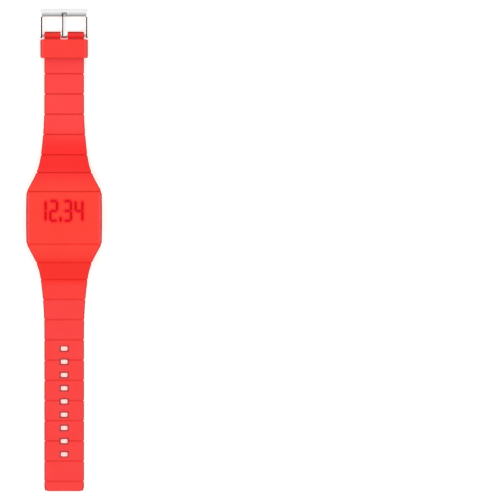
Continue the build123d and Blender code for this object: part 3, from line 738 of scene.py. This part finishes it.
def merged_copy(node, name, side=0):
    """A copy of a piece with its doubled corners merged, or of its half on one side of x = 0."""
    source = frame["nodes"][node]
    mesh = bpy.data.meshes.new(name)
    corners = [vertex.co for vertex in source.data.vertices]
    mesh.from_pydata(corners, [], [face.vertices for face in source.data.polygons])
    shape = bmesh.new()
    shape.from_mesh(mesh)
    bmesh.ops.remove_doubles(shape, verts=shape.verts, dist=weld_reach)
    bmesh.ops.dissolve_degenerate(shape, edges=shape.edges, dist=weld_reach / 2)
    if side:
        whole = [*shape.verts, *shape.edges, *shape.faces]
        away = (-side, 0, 0)
        cut = bmesh.ops.bisect_plane(shape, geom=whole, plane_no=away, clear_outer=True)
        rim = [part for part in cut["geom_cut"] if isinstance(part, bmesh.types.BMEdge)]
        bmesh.ops.holes_fill(shape, edges=rim)
    shape.to_mesh(mesh)
    shape.free()
    mesh.shade_smooth()
    mesh.set_sharp_from_angle(angle=radians(smooth_degrees))
    piece = new_object(name, mesh)
    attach(piece, source["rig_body"])
    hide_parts(node)
    return piece


def smooth_copy(node):
    """A merged copy of a piece, smooth over its rounded edges, which stands for it."""
    piece = merged_copy(node, node + "_smooth")
    normals = piece.modifiers.new("flat faces stay flat", "WEIGHTED_NORMAL")
    normals.keep_sharp = True
    return piece


def coil_halves():
    """The spring bar's coil in two halves, each with a mesh of its own."""
    halves = []
    for side, way in ((-1, "left"), (1, "right")):
        half = merged_copy("spring_bar_coil", "coil_half_" + way, side)
        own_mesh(half)
        halves.append(half)
    return halves


def dress(piece, material):
    """Give a piece its one material."""
    piece.data.materials.clear()
    piece.data.materials.append(material)


def dress_all():
    """Give every piece its finish, the pieces that show as smooth copies."""
    showing = (
        "silicone_band",
        "keeper_loop",
        "buckle_frame",
        "buckle_tongue",
        "case_back",
        "case_back_screws",
        "spring_bar_tube",
        "spring_bar_tip_left",
        "spring_bar_tip_right",
        "module_housing",
    )
    black = (colour(20, 20, 21), colour(28, 28, 30))
    white = (colour(222, 221, 214), colour(234, 233, 228))
    grey = (colour(118, 118, 121), colour(136, 136, 139))
    glossy_black = (colour(14, 14, 15), colour(24, 24, 25))
    finishes = (
        ("red_silicone", band_silicone("red silicone over the display"), ("silicone_band",)),
        ("red_silicone", keeper_silicone("red silicone"), ("keeper_loop",)),
        ("polished_steel", polished_steel("polished frame", frame_marks), ("buckle_frame",)),
        ("polished_steel", polished_steel("polished tongue", tongue_marks), ("buckle_tongue",)),
        (
            "plain_steel",
            turned_steel("turned steel"),
            (
                "spring_bar_tube",
                "spring_bar_tip_left",
                "spring_bar_tip_right",
                "spring_bar_coil",
                "case_back_screws",
                "board_screws",
            ),
        ),
        ("brushed_back", brushed_steel("ring-brushed steel"), ("case_back",)),
        (
            "black_plastic",
            moulded_plastic("black plastic", *black, 0.46),
            ("module_housing", "press_button", "tact_switch_body"),
        ),
        (
            "white_plastic",
            moulded_plastic("white plastic", *white, 0.4),
            ("battery_holder", "tact_switch_stem"),
        ),
        ("clear_acrylic", clear_acrylic("clear acrylic"), ("display_window",)),
        ("green_laminate", green_laminate("green laminate"), ("main_board",)),
        ("grey_epoxy", cast_epoxy("grey epoxy", *grey, 0.5), ("led_display_block",)),
        ("red_led_resin", lit_resin("lit red resin"), ("led_segments",)),
        (
            "black_epoxy",
            cast_epoxy("black epoxy", *glossy_black, 0.2),
            ("controller_chip", "chip_resistors"),
        ),
        ("nickel_can", nickel_can("nickel plate"), ("battery_cell", "quartz_crystal")),
        ("ceramic_tan", chip_ceramic("tan ceramic"), ("chip_capacitors",)),
        (
            "contact_brass",
            contact_brass("gold-washed brass"),
            ("battery_positive_contact", "battery_negative_contact"),
        ),
        ("amber_film", amber_film("amber film"), ("insulator_film",)),
        ("black_rubber", black_rubber("black rubber"), ("back_gasket",)),
    )
    for slot, material, nodes in finishes:
        for node in nodes:
            if node == "spring_bar_coil":
                pieces = coil_halves()
            elif node in showing:
                pieces = [smooth_copy(node)]
            else:
                pieces = [frame["nodes"][node]]
            for piece in pieces:
                dress(piece, material)


def seeing_rays(tree):
    """Masks of the rays from the camera or through glass, and of those from gloss."""
    camera = tree.node("ShaderNodeLightPath", {}, {}, "Is Camera Ray")
    return camera.most(camera.beside("Is Transmission Ray")), camera.beside("Is Glossy Ray")


def pale_sheet(name):
    """Paper that is part lit and part glowing for other rays than the eye's.

    To the eye it is paper under an even glow: white in the open, pink where the watch dims
    or tints the light on it, and clear from below.
    """
    grey = (floor_grey, floor_grey, floor_grey, 1)
    finish = Finish(name, base_color=grey, roughness=0.9, specular_ior_level=0.1)
    straight, glossy = seeing_rays(finish)
    lit = Value(finish, finish.shader.outputs[0])
    glow_share = floor_bounce_share + (floor_gloss_share - floor_bounce_share) * glossy
    giving = finish.mix_shader(glow_share, lit, finish.emission(white_light))
    paper = finish.node("ShaderNodeBsdfDiffuse", {}, {"Color": floor_shown_paper})
    glow = finish.emission(floor_shown_glow)
    shown = finish.node("ShaderNodeAddShader", {}, {0: paper, 1: glow})
    below = finish.node("ShaderNodeNewGeometry", {}, {}, "Backfacing")
    clear = finish.node("ShaderNodeBsdfTransparent", {}, {})
    sheet = finish.mix_shader(below, finish.mix_shader(straight, giving, shown), clear)
    finish.feed(finish.node_tree.nodes["Material Output"].inputs["Surface"], sheet)
    return finish.material


def studio_floor():
    """A wide round sheet just under the watch."""
    shape = bmesh.new()
    bmesh.ops.create_circle(shape, cap_ends=True, segments=floor_sides, radius=floor_radius)
    bmesh.ops.translate(shape, verts=shape.verts, vec=(0, 0, cad_box[0].z - floor_gap))
    mesh = bpy.data.meshes.new("floor")
    shape.to_mesh(mesh)
    shape.free()
    floor = new_object("floor", mesh)
    dress(floor, pale_sheet("pale sheet"))


def studio_sky():
    """A white sky that dims towards the horizon, but is white to the eye and in gloss."""
    world = bpy.data.worlds.new("studio sky")
    world.use_nodes = True
    bpy.context.scene.world = world
    sky = ShaderTree(world.node_tree)
    direction = sky.node("ShaderNodeTexCoord", {}, {}, "Generated")
    rise = sky.parts(direction)[-1]
    strength = sky_edge + (sky_top - sky_edge) * rise.fade(0, sky_edge_sine)
    straight, glossy = seeing_rays(sky)
    shown = straight.most(glossy * rise.fade(0, gloss_edge_sine))
    background = world.node_tree.nodes["Background"]
    background.inputs["Color"].default_value = white_light
    sky.feed(background.inputs["Strength"], strength.most(shown))


def key_lamps():
    """A broad lamp up on either side, for a little shape and a glint on the steel."""
    data = bpy.data.lights.new("key", "AREA")
    data.shape = "DISK"
    data.size = key_size
    data.energy = key_watts
    for side, name in ((-1, "key_left"), (1, "key_right")):
        lamp = new_object(name, data)
        lamp.location = (side * key_reach, 0, key_height)
        lamp.rotation_euler = (-lamp.location).to_track_quat("-Z", "Y").to_euler()


def photo_camera():
    """A long lens straight above, with the watch where the photograph has it."""
    middle = photo_pixels / 2
    data = bpy.data.cameras.new("camera")
    data.lens = data.sensor_width * camera_height / (photo_pixels * pixel_size)
    data.clip_end = 2 * camera_height
    camera = new_object("camera", data)
    camera.location.x = (middle - watch_axis_pixel) * pixel_size
    camera.location.y = (face_middle_pixel - middle) * pixel_size
    camera.location.z = camera_height
    bpy.context.scene.camera = camera


dress_all()
studio_floor()
studio_sky()
key_lamps()
photo_camera()
bpy.context.scene.view_settings.view_transform = "Standard"
